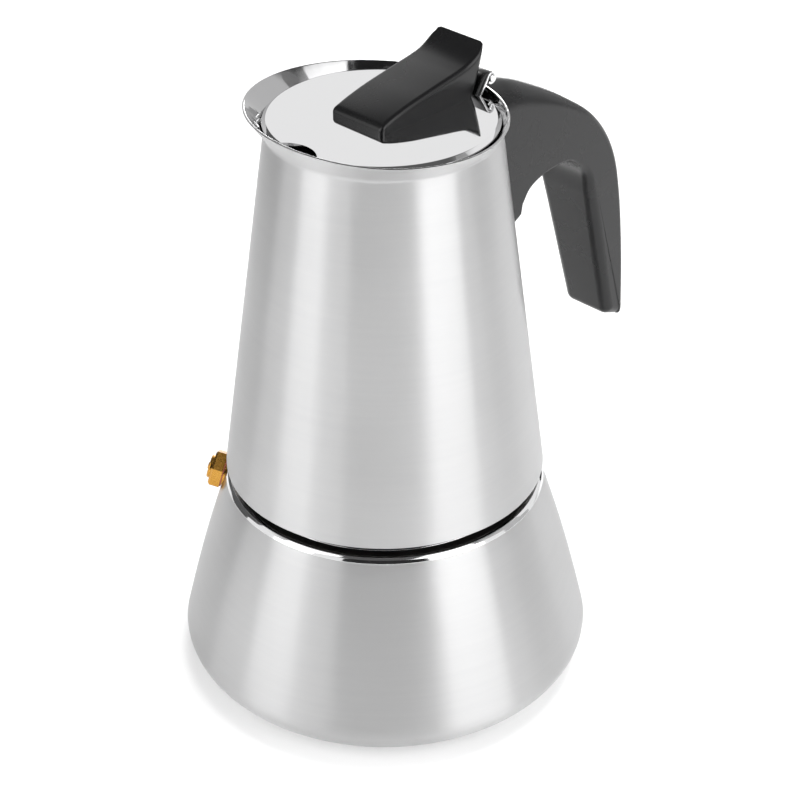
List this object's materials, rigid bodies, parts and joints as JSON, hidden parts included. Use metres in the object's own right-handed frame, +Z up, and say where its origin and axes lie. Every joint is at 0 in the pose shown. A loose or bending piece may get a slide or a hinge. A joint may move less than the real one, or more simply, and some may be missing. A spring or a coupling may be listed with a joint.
{
  "type": "moka pot",
  "caption": "Conical stovetop moka pot: wide boiler, tall screw-on jug with hinged lid, drop handle, funnel, filter, gasket and safety valve.",
  "frame": {"origin": "centre of the boiler's flat floor, on the surface that the pot stands on", "axes": "+Z up along the pot's axis, +X towards the handle, -X towards the pouring lip"},
  "size_m": [0.136, 0.1042, 0.1608],
  "materials": {
    "satin_steel": "fine satin, brushed round the pot",
    "polished_steel": "polished",
    "mirror_steel": "mirror polished",
    "inner_steel": "drawn steel, dull bright",
    "fastener_steel": "zinc bright",
    "valve_brass": "turned brass",
    "valve_fibre": "matt red fibre",
    "silicone": "matt translucent white silicone",
    "black_plastic": "fine satin black",
    "knob_plastic": "semi gloss black"
  },
  "bodies": {
    "boiler": {"boiler_shell": "satin_steel", "boiler_collar": "polished_steel", "valve_body": "valve_brass", "valve_cap": "valve_brass", "valve_washer": "valve_fibre", "valve_nut": "valve_brass", "valve_spring": "fastener_steel"},
    "valve_plunger": {"valve_pin": "valve_brass"},
    "funnel": {"funnel_bowl": "inner_steel", "funnel_stem": "inner_steel", "funnel_screen": "inner_steel"},
    "seal": {"gasket": "silicone"},
    "filter": {"filter_plate": "inner_steel"},
    "jug": {"jug_shell": "satin_steel", "jug_base": "inner_steel", "column": "inner_steel", "column_cap": "inner_steel", "hinge_bracket": "polished_steel", "hinge_pin": "polished_steel", "handle_bracket": "inner_steel", "handle_screw": "fastener_steel", "handle_washer": "fastener_steel", "handle": "black_plastic"},
    "lid": {"lid": "mirror_steel", "knob": "knob_plastic", "knob_washer": "fastener_steel", "knob_screw": "fastener_steel"}
  },
  "joints": [
    {"name": "jug_lift", "type": "slide", "parent": "boiler", "child": "seal", "axis": [0, 0, 1], "range_m": [0, 0.16]},
    {"name": "thread_rise", "type": "slide", "parent": "seal", "child": "filter", "axis": [0, 0, 1], "range_m": [0, 0.00385]},
    {"name": "jug_turn", "type": "hinge", "parent": "filter", "child": "jug", "pos_m": [0, 0, 0.06], "axis": [0, 0, 1], "range_deg": [0, 450]},
    {"name": "lid_hinge", "type": "hinge", "parent": "jug", "child": "lid", "pos_m": [0.0262, 0, 0.1535], "axis": [0, 1, 0], "range_deg": [0, 100]},
    {"name": "funnel_lift", "type": "slide", "parent": "boiler", "child": "funnel", "axis": [0, 0, 1], "range_m": [0, 0.08]},
    {"name": "valve_push", "type": "slide", "parent": "boiler", "child": "valve_plunger", "axis": [-0.5799, 0.7696, 0.2672], "range_m": [0, 0.0012], "stiffness_N_per_m": 600, "deforming": ["valve_spring"]}
  ],
  "couplings": [
    {"joint": "thread_rise", "follows": "jug_turn", "m_per_rad": 0.00047746},
    {"joint": "funnel_lift", "follows": "jug_lift", "ratio": 0.5}
  ]
}
